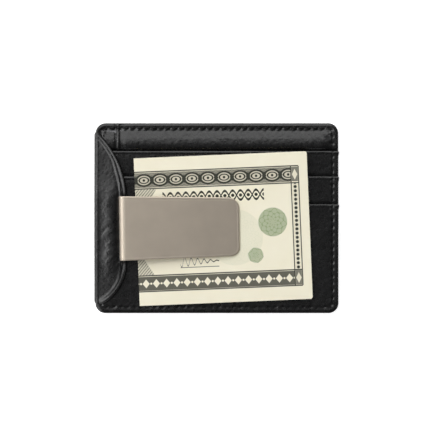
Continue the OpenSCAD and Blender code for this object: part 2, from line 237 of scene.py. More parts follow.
def punched(x, y):
    """Dimples at the needle holes, and the leather that puffs up between them."""
    out = np.zeros_like(x)
    rng = np.random.default_rng(11)
    reach = 3.6
    ahead = np.roll(HOLES, -1, 0) - HOLES
    ahead[-1] = ahead[-2]
    for (hx, hy), (ax, ay) in zip(HOLES, unit(ahead)):
        near = (np.abs(x - hx) < reach) & (np.abs(y - hy) < reach)
        k = rng.uniform(0.7, 1.3)
        shift = rng.uniform(-0.25, 0.25)
        if not near.any():
            continue
        dx, dy = x[near] - hx, y[near] - hy
        u, v = dx * ax + dy * ay - shift, -dx * ay + dy * ax    # along the seam, and to its inside
        head = smooth(0.4, -0.6, ay) * (hy > 0) * (abs(ay) < 0.8)
        foot = float(abs(ay) < 0.8 and hy < 0)
        hole = -(0.40 - 0.12 * foot) * k * np.exp(-(u / 0.40) ** 2 - (v / (0.36 + 0.2 * head)) ** 2)
        # the pulled fold that runs slantwise from the hole
        fold = -(0.14 - 0.08 * foot) * k * np.exp(-((u - 0.75 * v) / 0.34) ** 2)
        fold = fold * smooth(0.1, 0.6, v) * np.exp(-v / (0.8 + 0.9 * head))
        rise = (0.16 - 0.09 * foot) * k * np.exp(-((u - 1.5 - 0.5 * v) / 0.6) ** 2) * (
            (1 - 0.45 * head) * bell(v, 0.75, 0.5) + (0.25 + 0.25 * foot) * bell(v, -0.62, 0.34))
        out[near] += hole + fold + rise
    return out


def sewn_edge(x, y, depth=1.0):
    """The rim, the groove that the thread lies in and the dimples, as a change of height."""
    d = body_distance(x, y)
    top, right, bottom, left = sides(x, y)
    groove = top * TOP_EDGE(d) + (right + left) * RIGHT_EDGE(d) + bottom * BOTTOM_EDGE(d)
    return depth * (groove + punched(x, y)) - drop(d, 0.45 - 0.2 * bottom)


# ---- the front's height

# between these the flap's edge is straight; beyond them it curves in to HEAD_W and FOOT_W
STRAIGHT_TOP, STRAIGHT_BOTTOM = CLIP_Y + 12.8, CLIP_Y - 15.2
FLAP_W, HEAD_W, FOOT_W = FLAP_EDGE - LEFT, 1.0, 4.0


def arc_radius(dx, dy):
    return (dx * dx + dy * dy) / (2 * dx)


HEAD_R = arc_radius(FLAP_W - HEAD_W, HEAD_Y - STRAIGHT_TOP)
FOOT_R = arc_radius(FLAP_W - FOOT_W, STRAIGHT_BOTTOM - FOOT_Y)


def by_part(y, curved, straight):
    """What curved(radius, middle's Y) gives in the rows of either arc, and `straight` between."""
    head, foot = curved(HEAD_R, STRAIGHT_TOP), curved(FOOT_R, STRAIGHT_BOTTOM)
    return np.where(y > STRAIGHT_TOP, head, np.where(y < STRAIGHT_BOTTOM, foot, straight))


def flap_distance(x, y):
    """Distance inside the flap's curved edge."""
    return by_part(y, lambda r, cy: r - np.hypot(x - (FLAP_EDGE - r), y - cy), FLAP_EDGE - x)


def flap_right(y):
    return by_part(y, lambda r, cy: FLAP_EDGE - r + np.sqrt(np.clip(r * r - (y - cy) ** 2, 0, None)),
                   FLAP_EDGE)


def edge_stretch(y):
    """How much longer a step in from the flap's curved edge is along X than square to the edge."""
    lean = by_part(y, lambda r, cy: np.abs(y - cy) / r, 0)
    return 1 / np.sqrt(1 - np.clip(lean, 0, 0.93) ** 2)


# the padded face, against the distance below the top edge
PAD = profile([
    (3.0, 0), (3.7, 0.02), (5.2, 0.14), (6.0, 0.27), (7.0, 0.47), (8.0, 0.66), (9.0, 0.80), (9.8, 0.84),
    (10.4, 0.80), (11.0, 0.67), (11.6, 0.46), (12.2, 0.20), (12.8, 0.0), (13.5, 0.0)], 0.3)
# a turned lip, against the distance below its edge
LIP = profile([
    (-0.5, -0.20), (0.0, -0.17), (0.6, 0.04), (0.85, 0.05), (1.2, -0.03), (1.5, -0.07), (1.85, -0.07),
    (2.6, -0.02), (3.5, 0)], 0.12)
# the turned edge of the board's leather, against the distance inside it
TURNED = profile([
    (-0.5, -0.36), (0, -0.32), (0.85, 0.12), (1.0, 0.12), (1.95, -0.27), (2.35, -0.27), (4.2, -0.05),
    (5.2, 0), (6, 0)], 0.12)
# the hollow above a lip, against the distance from it
GAP = profile([(-1, -0.46), (0, -0.46), (0.5, -0.30), (1.0, -0.05), (1.4, 0), (2, 0)], 0.12)


def lip_shape(x, y, lip, seed):
    """A turned lip: rounded edge, raised roll, pressed crease and small gathers."""
    wave = 0.14 * noise(x, 0 * x, 8, seed)
    end = smooth(RIGHT - 6.5, RIGHT - 3.2, x)
    e = lip - y + wave * np.exp(-np.abs(lip - y) / 3)
    gathers = noise(x, y * 0.25, 0.95, seed + 5)
    z = LIP(e) * (1.25 - 0.6 * smooth(20, 46, x)) * (1 - 0.25 * (lip < LIPS[1] - 1))
    z = z - 0.09 * np.clip(gathers + 0.15, 0, 1) * bell(e, 1.66, 0.26) * (0.6 + 0.6 * end)
    z = z + 0.04 * np.clip(-gathers, 0, 1) * bell(e, 1.9, 0.4)
    return z + 0.10 * end * bell(e, 0.8, 0.5) - drop(np.maximum(lip - y, 0), 0.30)


def pressed(x, y):
    """How far the slots' leather lies lower where the flap covers it."""
    edge = (1 - smooth(PANEL_LEFT, PANEL_LEFT + 3.6, x)) ** 1.3
    return 1.15 * (np.clip((flap_distance(x, y) - 1.2) / 8.0, 0, 1.1) + 0.35 * edge)


def board_top(x, y):
    """The padded face above the first lip."""
    inner, d = TOP - y, body_distance(x, y)
    z = LEVELS[0] + sewn_edge(x, y) + PAD(inner) * (0.30 + 0.70 * smooth(1.6, 8.0, RIGHT - x))
    folds = noise(x - 0.75 * inner, y * 0.22, 1.05, 21) * np.exp(-np.clip(inner - 3.2, 0, 20) / 3.2)
    z = z + 0.12 * folds * smooth(2.4, 3.6, inner)
    corner = noise((RIGHT - x) * 0.3, x + y, 1.3, 25) * smooth(10, 4, RIGHT - x) * smooth(3.0, 4.5, d)
    z = z + 0.07 * corner + 0.06 * wrinkled(x, y, 3.6, 31) * smooth(2.5, 4, d)
    edge = x - BOARD_LEFT
    return z + TURNED(edge) * smooth(TOP, TOP - 0.8, y) + GAP(y - LIPS[1]) - drop(np.maximum(edge, 0), 0.25)


def spine_top(x, y):
    """The leather beside the board, which runs on under the flap."""
    inner = TOP - y
    z = LEVELS[0] - 0.34 + sewn_edge(x, y, 0.95)
    z = z + 0.95 * PAD(inner) * smooth(PANEL_LEFT + 0.5, PANEL_LEFT + 3.5, x)
    z = z - 0.24 * bell(x, BOARD_LEFT, 0.7) + GAP(y - LIPS[1])
    z = z + 0.08 * noise(x - 0.75 * inner, y * 0.3, 1.1, 45) * smooth(2.6, 3.6, inner)
    return z + 0.06 * wrinkled(x, y, 2.6, 41) * smooth(2, 3, body_distance(x, y))


def slot_top(n):
    """The height of slot n's leather, as a function."""
    lip = LIPS[n]

    def f(x, y):
        z = LEVELS[n] + sewn_edge(x, y, 0.85) + lip_shape(x, y, lip, 50 + 7 * n)
        # a slack between the seam and whatever lies on the leather
        z = z - 0.22 * smooth(RIGHT - 3.5, RIGHT - 12, x) * smooth(1.8, 6, lip - y) * (n == 3)
        if n < 3:
            z = z + GAP(y - LIPS[n + 1])
        # soft drape lines
        z = z + 0.05 * noise(x * 0.5 + y * 0.25, y * 0.5 - x * 0.2, 1.2, 64 + n) * smooth(2.2, 4, lip - y)
        z = z + 0.06 * wrinkled(x, y, 5.5, 60 + n) * smooth(1.5, 3.5, body_distance(x, y))
        return z - pressed(x, y)

    return f


def surface_z(x, y):
    """Height of the front's visible leather at points anywhere on it."""
    x, y = np.asarray(x, float), np.asarray(y, float)
    z = np.where(x < BOARD_LEFT, spine_top(x, y), board_top(x, y))
    for n in (1, 2, 3):
        z = np.where(y < LIPS[n], slot_top(n)(x, y), z)
    return z


# ---- materials


class Nodes:
    """A node tree under construction: nodes are added by short calls that return sockets."""

    def __init__(self, tree):
        self.tree = tree

    def node(self, kind, **props):
        n = self.tree.nodes.new(kind)
        for k, v in props.items():
            setattr(n, k, v)
        return n

    def feed(self, socket, value):
        """Links an input to another node's output, or sets it to a constant."""
        if isinstance(value, bpy.types.NodeSocket):
            self.tree.links.new(value, socket)
        else:
            socket.default_value = value

    def put(self, node, **values):
        """Feeds a node's inputs by name, where _ stands for a space, and returns its outputs."""
        for name, value in values.items():
            self.feed(node.inputs[name.replace("_", " ")], value)
        return node.outputs

    def calc(self, op, *values, clamp=False):
        n = self.node("ShaderNodeMath", operation=op, use_clamp=clamp)
        for socket, value in zip(n.inputs, values):
            self.feed(socket, value)
        return n.outputs[0]

    add, sub = partialmethod(calc, "ADD"), partialmethod(calc, "SUBTRACT")
    mul, div = partialmethod(calc, "MULTIPLY"), partialmethod(calc, "DIVIDE")
    mul_add, sine = partialmethod(calc, "MULTIPLY_ADD"), partialmethod(calc, "SINE")
    absolute, larger = partialmethod(calc, "ABSOLUTE"), partialmethod(calc, "MAXIMUM")


class Shader(Nodes):
    """A material's nodes; the textures are placed by the object's own coordinates."""

    def __init__(self, name):
        self.material = bpy.data.materials.new(name)
        self.material.use_nodes = True
        super().__init__(self.material.node_tree)
        self.tree.nodes.clear()
        self.bsdf = self.node("ShaderNodeBsdfPrincipled")
        self.put(self.node("ShaderNodeOutputMaterial"), Surface=self.bsdf.outputs[0])
        self.place = self.node("ShaderNodeTexCoord").outputs["Object"]

    def surface(self, **values):
        """Feeds the material's own inputs and returns the material."""
        self.put(self.bsdf, **values)
        return self.material

    def split(self, vector):
        return self.put(self.node("ShaderNodeSeparateXYZ"), Vector=vector)

    def moved(self, scale, turn=0.0):
        return self.put(self.node("ShaderNodeMapping"), Vector=self.place, Scale=scale,
                        Rotation=(0, 0, turn))[0]

    def noise(self, size_mm, detail, rough=0.5, at=None):
        return self.put(self.node("ShaderNodeTexNoise"), Vector=at or self.place, Scale=1000 / size_mm,
                        Detail=detail, Roughness=rough)["Fac"]

    def cells(self, size_mm, at):
        return self.put(self.node("ShaderNodeTexVoronoi", feature="SMOOTH_F1"), Vector=at,
                        Scale=1000 / size_mm)["Distance"]

    def ramp(self, value, *stops):
        """A blend of two colours; stops are (position, colour)."""
        n = self.node("ShaderNodeValToRGB")
        self.put(n, Fac=value)
        for e, (p, c) in zip(n.color_ramp.elements, stops):
            e.position = p
            e.color = (*c, 1)
        return n.outputs[0]

    def mix(self, fac, a, b):
        """Colour a where fac is 0 and b where it is 1."""
        n = self.node("ShaderNodeMix", data_type="RGBA")
        for k, value in ((0, fac), (6, a), (7, (*b, 1))):
            self.feed(n.inputs[k], value)
        return n.outputs[2]

    def bump(self, height, depth_mm):
        return self.put(self.node("ShaderNodeBump"), Strength=1.0, Distance=depth_mm / 1000,
                        Height=height)[0]


def shade(colour, factor):
    return tuple(c * factor for c in colour)


def leather(name, colour, grain_mm, grain_depth, rough, specular):
    """Pebbled leather: cells of two sizes, pulled out of shape by noise, and soft creases."""
    s = Shader(name)
    stray = s.put(s.node("ShaderNodeTexNoise"), Vector=s.place, Scale=1000 / (grain_mm * 1.7))["Color"]
    pull = s.node("ShaderNodeVectorMath", operation="MULTIPLY_ADD")
    for socket, value in zip(pull.inputs, (stray, (grain_mm * 0.0009,) * 3, s.place)):
        s.feed(socket, value)
    at = pull.outputs[0]
    big, small = s.cells(grain_mm, at), s.cells(grain_mm * 0.42, at)
    crease = s.absolute(s.sub(s.noise(grain_mm * 2.1, 3, 0.55), 0.5))
    pebble = s.mul_add(small, 0.35, s.mul(big, 0.8))
    tone = s.mul_add(s.noise(6.0, 3), 0.6, s.mul(pebble, 0.4))
    return s.surface(
        Normal=s.bump(s.mul_add(crease, 2.2, pebble), grain_depth),
        Base_Color=s.ramp(tone, (0.25, shade(colour, 0.6)), (0.75, shade(colour, 1.4))),
        Roughness=s.mul_add(s.noise(1.6, 2), 0.18, rough - 0.09), Specular_IOR_Level=specular)


def cloth(name, colour, pitch_mm):
    s = Shader(name)
    at = s.split(s.moved((1000 / pitch_mm * pi,) * 3))
    height = s.mul_add(s.mul(s.sine(at[0]), s.sine(at[1])), 0.5, 0.5)
    return s.surface(Normal=s.bump(height, 0.05), Roughness=0.85,
                     Base_Color=s.ramp(height, (0.0, shade(colour, 0.6)), (1.0, colour)))


def satin_metal(name, colour, rough):
    """Metal with fine brush lines along the clip's length."""
    s = Shader(name)
    streak = s.noise(0.5, 3, 0.6, at=s.moved((0.05, 1, 1), -CLIP_TILT))
    return s.surface(
        Normal=s.bump(streak, 0.008), Metallic=1.0, Roughness=s.mul_add(streak, 0.05, rough - 0.025),
        Base_Color=s.ramp(s.noise(9, 2), (0.3, shade(colour, 0.96)), (0.7, shade(colour, 1.03))))


def board_stock(name, colour, specular=0.5):
    s = Shader(name)
    fibre = s.noise(0.5, 4, 0.7)
    return s.surface(Base_Color=s.ramp(fibre, (0.3, shade(colour, 0.8)), (0.7, colour)),
                     Normal=s.bump(fibre, 0.03), Roughness=0.9, Specular_IOR_Level=specular)


def clear_plastic(name, colour):
    """A sheet that shows what is under it, with a faint shine."""
    s = Shader(name)
    return s.surface(Base_Color=(*colour, 1), Roughness=0.08, Alpha=0.10,
                     Normal=s.bump(s.noise(14, 2), 0.25))


BLACK = leather("black_leather", (0.0036, 0.0036, 0.0038), 1.25, 0.07, 0.28, 0.60)
GRAIN = leather("grained_black_leather", (0.0036, 0.0036, 0.0038), 1.25, 0.055, 0.29, 0.62)
THREAD = leather("black_thread", (0.005, 0.005, 0.0052), 0.3, 0.02, 0.5, 0.27)
# matt near-black edge paint; along the flap's edge it also serves as painted contact shadow on the leather
# below
EDGE_PAINT_AND_SHADOW = board_stock("black_edge_paint_and_painted_shadow", (0.004, 0.004, 0.004), 0.1)
LINING = cloth("black_lining_cloth", (0.015, 0.015, 0.016), 0.35)
WADDING = board_stock("grey_wadding", (0.2, 0.2, 0.21))
GREYBOARD = board_stock("grey_board", (0.36, 0.31, 0.25))
NICKEL = satin_metal("satin_nickel", (0.625, 0.55, 0.457), 0.49)
VINYL = clear_plastic("clear_vinyl", (0.50, 0.52, 0.54))

# ---- mesh building


def add_mesh(name, verts, faces, material, body, node=None, angle=None):
    """Adds a piece that rides on a body; edges sharper than angle, in degrees, stay sharp."""
    if isinstance(faces, np.ndarray):
        faces = faces.tolist()
    mesh = bpy.data.meshes.new(name)
    mesh.from_pydata((np.asarray(verts, float) * 0.001).tolist(), [], faces)
    mesh.validate()
    mesh.materials.append(material)
    mesh.polygons.foreach_set("use_smooth", [True] * len(mesh.polygons))
    obj = bpy.data.objects.new(name, mesh)
    bpy.context.scene.collection.objects.link(obj)
    if angle is not None:
        mesh.set_sharp_from_angle(angle=radians(angle))
    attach(obj, body)
    if node:
        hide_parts(node)


def grid_faces(n, m, start=0, flip=False):
    i, j = np.meshgrid(np.arange(n - 1), np.arange(m - 1), indexing="ij")
    a = (start + i * m + j).ravel()
    quad = np.stack([a, a + m, a + m + 1, a + 1], 1)
    return quad[:, ::-1] if flip else quad


def border(n, m):
    """Indices round the edge of an n by m grid, anticlockwise."""
    return np.concatenate([
        np.arange(0, n) * m, (n - 1) * m + np.arange(1, m),
        np.arange(n - 2, -1, -1) * m + m - 1, np.arange(m - 2, 0, -1)])


def wall_faces(ring, other):
    """Faces between two closed rings of points."""
    return np.stack([ring, other, np.roll(other, -1), np.roll(ring, -1)], 1)


def add_sheet(name, material, body, slot, node, angle, *sheets, side=1):
    """Adds a piece of closed sheets, each given by its two faces as grids of points;
    side is -1 where the first face lies on the other side of its grid."""
    verts, faces, start = [], [], 0
    for up, down in sheets:
        n, m = up.shape[:2]
        loop = border(n, m) + start
        verts += [up.reshape(-1, 3), down.reshape(-1, 3)]
        faces += [grid_faces(n, m, start), grid_faces(n, m, start + n * m, True),
                  wall_faces(loop, loop + n * m)]
        start += 2 * n * m
    add_mesh(name, np.concatenate(verts), np.concatenate(faces)[:, ::side], material, body,
             node, angle)


def tube_faces(n, m, start=0):
    """The side of a tube of n rings of m points each."""
    i, j = np.meshgrid(np.arange(n - 1), np.arange(m), indexing="ij")
    a, b = (start + i * m + j).ravel(), (start + i * m + (j + 1) % m).ravel()
    return np.stack([a, b, b + m, a + m], 1)


def normals(points):
    """Unit normals of a grid of points."""
    out = np.cross(np.gradient(points, axis=0), np.gradient(points, axis=1))
    return out / (np.linalg.norm(out, axis=-1, keepdims=True) + 1e-12)


def flat_list(*coordinates):
    """A list of points from three grids of coordinates."""
    return np.stack(coordinates, -1).reshape(-1, 3)


def rounded(x, y, corners):
    """Moves grid points so that the grid's square corners become round.
    corners holds (sign x, sign y, corner x, corner y, radius)."""
    for sx, sy, cx, cy, r in corners:
        u, v = (sx * (x - cx) + r) / r, (sy * (y - cy) + r) / r
        inside = (u > 0) & (v > 0)
        nu, nv = u * np.sqrt(np.clip(1 - v * v / 2, 0, 1)), v * np.sqrt(np.clip(1 - u * u / 2, 0, 1))
        x = np.where(inside, cx + sx * (nu * r - r), x)
        y = np.where(inside, cy + sy * (nv * r - r), y)
    return x, y


def spread(y):
    """The sewn edges at the foot and the head stand out a little past the cut edge."""
    return y - 0.25 * smooth(-36.5, -40.0, y) + 0.12 * smooth(38.5, 41.5, y)


def panel(name, node, xs, ys, corners, top, under, out=0.10, bulge=None):
    """A closed piece of leather: a heightfield on top, one beneath, and a wall round them
    that swells by `out` at each pressed layer."""
    thinnest, layer, first_layer, row_height = 0.05, 0.85, 0.42, 0.11
    px, py = rounded(*np.meshgrid(xs, ys, indexing="ij"), corners)
    zt, zb = top(px, py), under(px, py)
    if bulge:
        px = px + bulge(px, py)
    py = spread(py)
    n, m = px.shape
    loop = border(n, m)
    zt.ravel()[loop] = np.maximum(zt.ravel()[loop], zb.ravel()[loop] + thinnest)
    up, down = flat_list(px, py, zt), flat_list(px, py, np.minimum(zb, zt - thinnest))
    verts, faces = [up, down], [grid_faces(n, m), grid_faces(n, m, n * m, True)]
    a, b = up[loop], down[loop]
    ahead = np.roll(a, -1, 0) - np.roll(a, 1, 0)
    outward = unit(np.stack([ahead[:, 1], -ahead[:, 0]], 1))
    rows = max(2, int(round((a[:, 2] - b[:, 2]).max() / row_height)))
    previous, start = loop, 2 * n * m
    for r in range(1, rows):
        t = r / rows
        p = a * (1 - t) + b * t
        phase = ((a[:, 2] + first_layer - p[:, 2]) / layer) % 1.0
        swell = out * np.sqrt(np.clip(1 - (2 * phase - 1) ** 2, 0, 1)) - out * 0.4
        p[:, :2] += outward * (swell * min(1, 4 * t, 4 * (1 - t)))[:, None]
        verts.append(p)
        ring = start + np.arange(len(loop))
        faces.append(wall_faces(previous, ring))
        previous, start = ring, start + len(loop)
    faces.append(wall_faces(previous, loop + n * m))
    add_mesh(name, np.concatenate(verts), np.concatenate(faces), BLACK, "wallet",
             node, 55)


TOP_LEFT, TOP_RIGHT = (-1, 1, PANEL_LEFT, TOP, CORNER), (1, 1, RIGHT, TOP, CORNER)
BOTTOM_LEFT, BOTTOM_RIGHT = (-1, -1, PANEL_LEFT, BOTTOM, CORNER), (1, -1, RIGHT, BOTTOM, CORNER)

# ---- the front's leather


def tucked(top, below, level, radius):
    """The heights of `top`, kept under `level` where the next piece covers them."""
    def f(x, y):
        z = top(x, y)
        return np.where(y < below, np.minimum(z, level - drop(body_distance(x, y), radius)), z)
    return f


def board_pieces():
    """The board and, beside it, the spine panel."""
    under = low("front_board")[2]
    ys = with_edges(lines(BOTTOM, TOP, 3.0, [TOP - 1.2, LIPS[1] + 0.5], 9.5, 0.21))
    board = with_edges(lines(BOARD_LEFT, RIGHT, 0.42, [BOARD_LEFT + 1.4, RIGHT - 2], 2.4, 0.2))
    spine = with_edges(lines(PANEL_LEFT, BOARD_LEFT + 4, 0.3, [PANEL_LEFT + 2, BOARD_LEFT - 0.5], 2.0, 0.2),
                       True, False)
    for name, node, xs, corners, top, sunk, radius in (
            ("front_board_leather", "front_board", board, [TOP_RIGHT, BOTTOM_RIGHT], board_top, 0.02, 0.4),
            ("spine_leather", "spine_panel", spine, [TOP_LEFT, BOTTOM_LEFT], spine_top, 0.4, 0.3)):
        panel(name, node, xs, ys, corners, tucked(top, LIPS[1] - 2, LEVELS[0] - sunk, radius),
              lambda x, y: 0 * x + under)


def slot_piece(n):
    """The leather of slot n; its lip's right end stands out a little."""
    lip, end, last = LIPS[n], low(f"slot_{n}_panel")[1], n == 3
    above_end = low(f"slot_{n - 1}_panel")[1] if n > 1 else BOTTOM
    hidden = -inf if last else LIPS[n + 1] - 1.5

    def under(x, y):
        floor = np.where(y > above_end, LEVELS[n - 1], LEVELS[0]) + 0.01
        return np.where(body_distance(x, y) < SEWN_W, floor, LEVELS[n] - STRIP)

    def bulge(x, y):
        return 0.28 * bell(y, lip - 0.9, 1.1) * smooth(RIGHT - 2.0, RIGHT - 0.1, x)

    fine = [lip - 1.1, BOTTOM + 2.0] if last else [lip - 1.1]
    ys = with_edges(lines(end, lip, 0.5 if last else 0.6, fine, 2.6, 0.16), last, True)
    xs = with_edges(lines(PANEL_LEFT, RIGHT, 0.5, [PANEL_LEFT + 2, RIGHT - 2], 2.6, 0.19))
    corners = [BOTTOM_LEFT, BOTTOM_RIGHT] if last else []
    corners = corners + [(1, 1, RIGHT, lip, 0.5), (-1, 1, PANEL_LEFT, lip, 0.5)]
    panel(f"slot_{n}_leather", f"slot_{n}_panel", xs, ys, corners,
          tucked(slot_top(n), hidden, LEVELS[n] - 0.03, 0.4), under, bulge=bulge)


board_pieces()
for slot_number in (1, 2, 3):
    slot_piece(slot_number)

# ---- stitches


def stitch_ends():
    """The start and end of each stitch, a little short of its two holes."""
    short = unit(np.diff(HOLES, axis=0)) * 0.34
    return list(zip(HOLES[:-1] + short, HOLES[1:] - short))


def stitch_row(name, ends, height, radius, side_sign=1):
    """Two-ply thread stitches that dip into a hole at either end; side_sign is -1 on the back."""
    rings, around = 15, 10
    lift, dip, slant = 0.06, 0.34, 0.20
    t = np.linspace(0, 1, rings)[:, None]
    arch = np.sqrt(np.clip(1 - (2 * t - 1) ** 4, 0, 1))
    turn = 2 * pi * np.arange(around) / around
    ply = 1 + 0.14 * np.cos(2 * turn + 2.6 * pi * t * 2)
    r = radius * (0.55 + 0.45 * arch) * ply
    across, up = r * np.cos(turn), 0.8 * r * np.sin(turn)
    verts, faces = [], []
    for p, q in ends:
        ahead = (q - p) / np.hypot(*(q - p))
        side = np.array([-ahead[1], ahead[0]])
        x, y = (p * (1 - t) + q * t + side * (slant * (2 * t - 1))).T
        z = height(x, y)[:, None] + side_sign * (lift * arch - dip * (1 - arch))
        start = len(verts) * rings * around
        end = start + rings * around
        x, y = x[:, None] + side[0] * across, spread(y[:, None] + side[1] * across)
        verts.append(flat_list(x, y, z + up))
        faces += tube_faces(rings, around, start).tolist()
        faces += [list(range(start, start + around))[::-1], list(range(end - around, end))]
    add_mesh(name, np.concatenate(verts), faces, THREAD, "wallet")


def thread_z(x, y):
    """The leather's height evened out along a stitch, lower at the sides and lowest at the foot."""
    return averaged(surface_z(x, y), 2) - 0.15 * smooth(37, 33, y) - 0.10 * smooth(-36, -39, y)


stitch_row("front_stitches", stitch_ends(), thread_z, 0.27)

# ---- the flap

WRAP_X = LEFT + 0.33                  # where the soft wrapped edge stands out most
# height of the flap's face beside its wrapped edge, and inside its turned rim, against Y
EDGE_Z = profile([
    (-60, 7.4), (-39, 7.30), (-34, 7.38), (-28, 7.55), (-20, 8.2), (-14, 8.4), (8, 8.4), (12, 8.1),
    (19, 7.2), (25, 6.55), (30, 6.08), (34, 5.75), (39, 5.4), (60, 5.2)], 1.8)
RIM_Z = profile([
    (-60, 7.9), (-39, 7.95), (-34, 8.35), (-28, 8.85), (-22, 8.95), (-12, 8.65), (8, 8.62), (13, 8.45),
    (19, 7.90), (25, 7.05), (30, 6.38), (34, 5.92), (39, 5.5), (60, 5.4)], 1.8)
# the padding's swell over the clip's plate, against the distance from the wrapped edge
SWELL = profile([
    (1, 0), (2.2, 0.0), (3.2, 0.09), (4.0, 0.22), (5.0, 0.40), (5.6, 0.51), (6.2, 0.60), (6.8, 0.67),
    (7.4, 0.72), (8.3, 0.75), (9.0, 0.68), (9.8, 0.50), (10.6, 0.33), (11.3, 0.20), (12.4, 0.04),
    (14, 0)], 0.3)
# the turned rim, its groove and the second roll, against the distance inside the flap's edge
RIM = profile([
    (-0.5, 0.28), (0, 0.32), (0.45, 0.46), (0.62, 0.44), (1.45, 0.13), (1.65, 0.12), (2.2, 0.33),
    (2.42, 0.33), (3.3, -0.02), (3.6, -0.03), (4.4, 0.0), (5, 0)], 0.09)


def flap_left(y):
    """The wrapped edge, rounded at the flap's two outer corners."""
    r = 1.5
    over = np.clip(np.maximum(y - (HEAD_Y - r), (FOOT_Y + r) - y), 0, r)
    return WRAP_X + r - np.sqrt(r * r - over * over)


def beside_clip(y):
    """1 in the rows that the clip crosses, falling to 0 beyond them."""
    above, below = y - STRAIGHT_TOP, y - STRAIGHT_BOTTOM
    return smooth(12, -3, above) * smooth(-11, 6, below)


def crown_x(y):
    """Where the flap is highest: short of the slit beside the clip, at the rim elsewhere."""
    left, right = flap_left(y), flap_right(y)
    wide = right - 4.8 * edge_stretch(y)
    return np.maximum(wide + (CLIP_X - 3.1 - wide) * beside_clip(y), left + 0.35 * (right - left))


def flap_face(x, y):
    """Height of the flap's outer face, round to where the wrapped edge is upright."""
    d, left = flap_distance(x, y), flap_left(y)
    u = np.maximum(x - left, 0)
    foot = smooth(-13, -22, y)
    ends = foot + 0.4 * smooth(18, 27, y)
    inner_rim = flap_right(y) - (4.5 - 3.5 * ends) * edge_stretch(y) - left
    across = np.clip((u - 2.0) / np.maximum(inner_rim - 2.0, 1.2), 0, 1)
    rise = (RIM_Z(y) - EDGE_Z(y)) * smooth(0.3, 4.0, inner_rim)
    z = EDGE_Z(y) + rise * ((0.75 + 0.1 * foot) * across + (0.25 - 0.1 * foot) * across * across)
    z = z + SWELL(u) * beside_clip(y) - 0.06 * np.maximum(2.0 - u, 0) - drop(u, 0.95)
    # beside the clip the rim lies on the leather below
    hold = smooth(CLIP_W / 2 + 6, CLIP_W / 2 - 1, np.abs(y - CLIP_Y))
    z = z + (surface_z(x, y) + 0.75 - z) * smooth(2.8, 1.2, d) * hold
    squeeze = 1 + 0.34 * smooth(20, 27, y) + 0.12 * smooth(28, 34, y) + 0.16 * smooth(-24, -30, y)
    strength = 1.06 - 0.80 * foot - 0.26 * smooth(18, 26, y)
    z = z + (0.35 + (RIM(d * squeeze) - 0.35) * strength) * smooth(-0.2, 0.8, x - left)
    # the pressed line beside the wrapped edge
    z = z + smooth(HEAD_Y, HEAD_Y - 3, y) * 0.08 * bell(x, LEFT + 1.75, 0.24)
    # fine diagonal wrinkles, deeper towards the clip
    along, across = turned(x, y, radians(40))
    loose = smooth(3.0, 5.5, x - LEFT) * smooth(2.3, 4.5, d)
    z = z + 0.08 * noise(along * 0.25, across, 1.15, 71) * loose * bell(y, -8, 14)
    z = z + 0.035 * wrinkled(x * 1.3, y, 2.3, 79) * loose
    z = z + 0.05 * wrinkled(x, y, 6.0, 75) * smooth(1.8, 3, d)
    # the slit for the clip, and the pucker at either end of it
    cx, cy = turned(x - CLIP_X, y - CLIP_Y, CLIP_TILT)
    past = np.abs(cy) - CLIP_W / 2
    z = z - 0.10 * bell(cx, -0.2, 0.9) * smooth(1.3, 0.1, past)
    return z + 0.12 * bell(cx, -0.9, 0.7) * bell(past, 1.2, 0.9) - drop(d, 0.58)


def make_flap():
    """One piece of leather from the back leg, round the left edge, to the curved rim."""
    bend, upright = 1.8, LEFT + 0.12          # radius of the bend to the leg, X of the wall above it
    z0 = low("flap")[2]
    ys = lines(FOOT_Y + 0.45, HEAD_Y - 0.45, 0.40, [-20.0, 10.4], 2.2, 0.22)
    ys = np.concatenate([FOOT_Y + EDGE, ys, (HEAD_Y - EDGE)[::-1]])
    near = np.concatenate([EDGE[:-1], np.arange(0.36, 4.5, 0.13)])
    turns = np.linspace(0, pi / 2, 46)
    # rows of X from the rim, over the crown, to the wrapped edge
    rows = []
    for y, xr, xl, st in zip(ys, flap_right(ys), flap_left(ys), edge_stretch(ys)):
        xc = min(float(crown_x(np.array(y))), xr - 0.2)
        band = near * st
        band = band * min(1.0, (xr - xc) * 0.95 / band[-1])
        middle = np.linspace(xr - band[-1], xc, 22)[1:-1]
        rows.append(np.concatenate([xr - band, middle, xc - (xc - xl) * np.sin(turns)]))
    face_x = np.array(rows)
    nf = face_x.shape[1]
    face_y = np.repeat(ys[:, None], nf, 1)
    face_z = flap_face(face_x, face_y)
    # then down the left edge, round the bend and along the leg under the back
    start_x, start_z = face_x[:, -1:], face_z[:, -1:]
    wall_t = np.linspace(0, 1, 14)[None, 1:]
    wall_z = start_z * (1 - wall_t) + (z0 + bend) * wall_t
    wall_x = start_x + (upright - WRAP_X) * np.sin(wall_t * pi / 2)
    a = np.linspace(pi, 1.5 * pi, 9)[None, 1:]
    low_x = wall_x[:, -1:] + bend + np.cos(a) * bend
    low_z = z0 + bend + np.sin(a) * bend + 0 * start_z
    leg_x = low_x[:, -1:] + np.linspace(0, FLAP_LEG - bend - 0.12, 8)[None, 1:]
    x = np.concatenate([face_x, wall_x, low_x, leg_x], 1)
    z = np.concatenate([face_z, wall_z, low_z, z0 + 0 * leg_x], 1)
    outer = np.stack([x, np.repeat(ys[:, None], x.shape[1], 1), z], -1)
    # the inner face follows the same path, drawn in by the leather's thickness
    inner = outer - normals(outer) * LEATHER
    hem = surface_z(face_x, face_y) + 0.02
    at_rim = flap_distance(face_x, face_y) < 2.2
    face = inner[:, :nf]
    face[..., 2] = np.minimum(np.where(at_rim, hem, np.maximum(face[..., 2], hem)), face_z - 0.12)
    face[..., 0] = np.where(at_rim, face_x, face[..., 0])
    inner[..., 1] = outer[..., 1]
    add_sheet("flap_leather", GRAIN, "wallet", "grained_leather", "flap", 60, (outer, inner), side=-1)


make_flap()


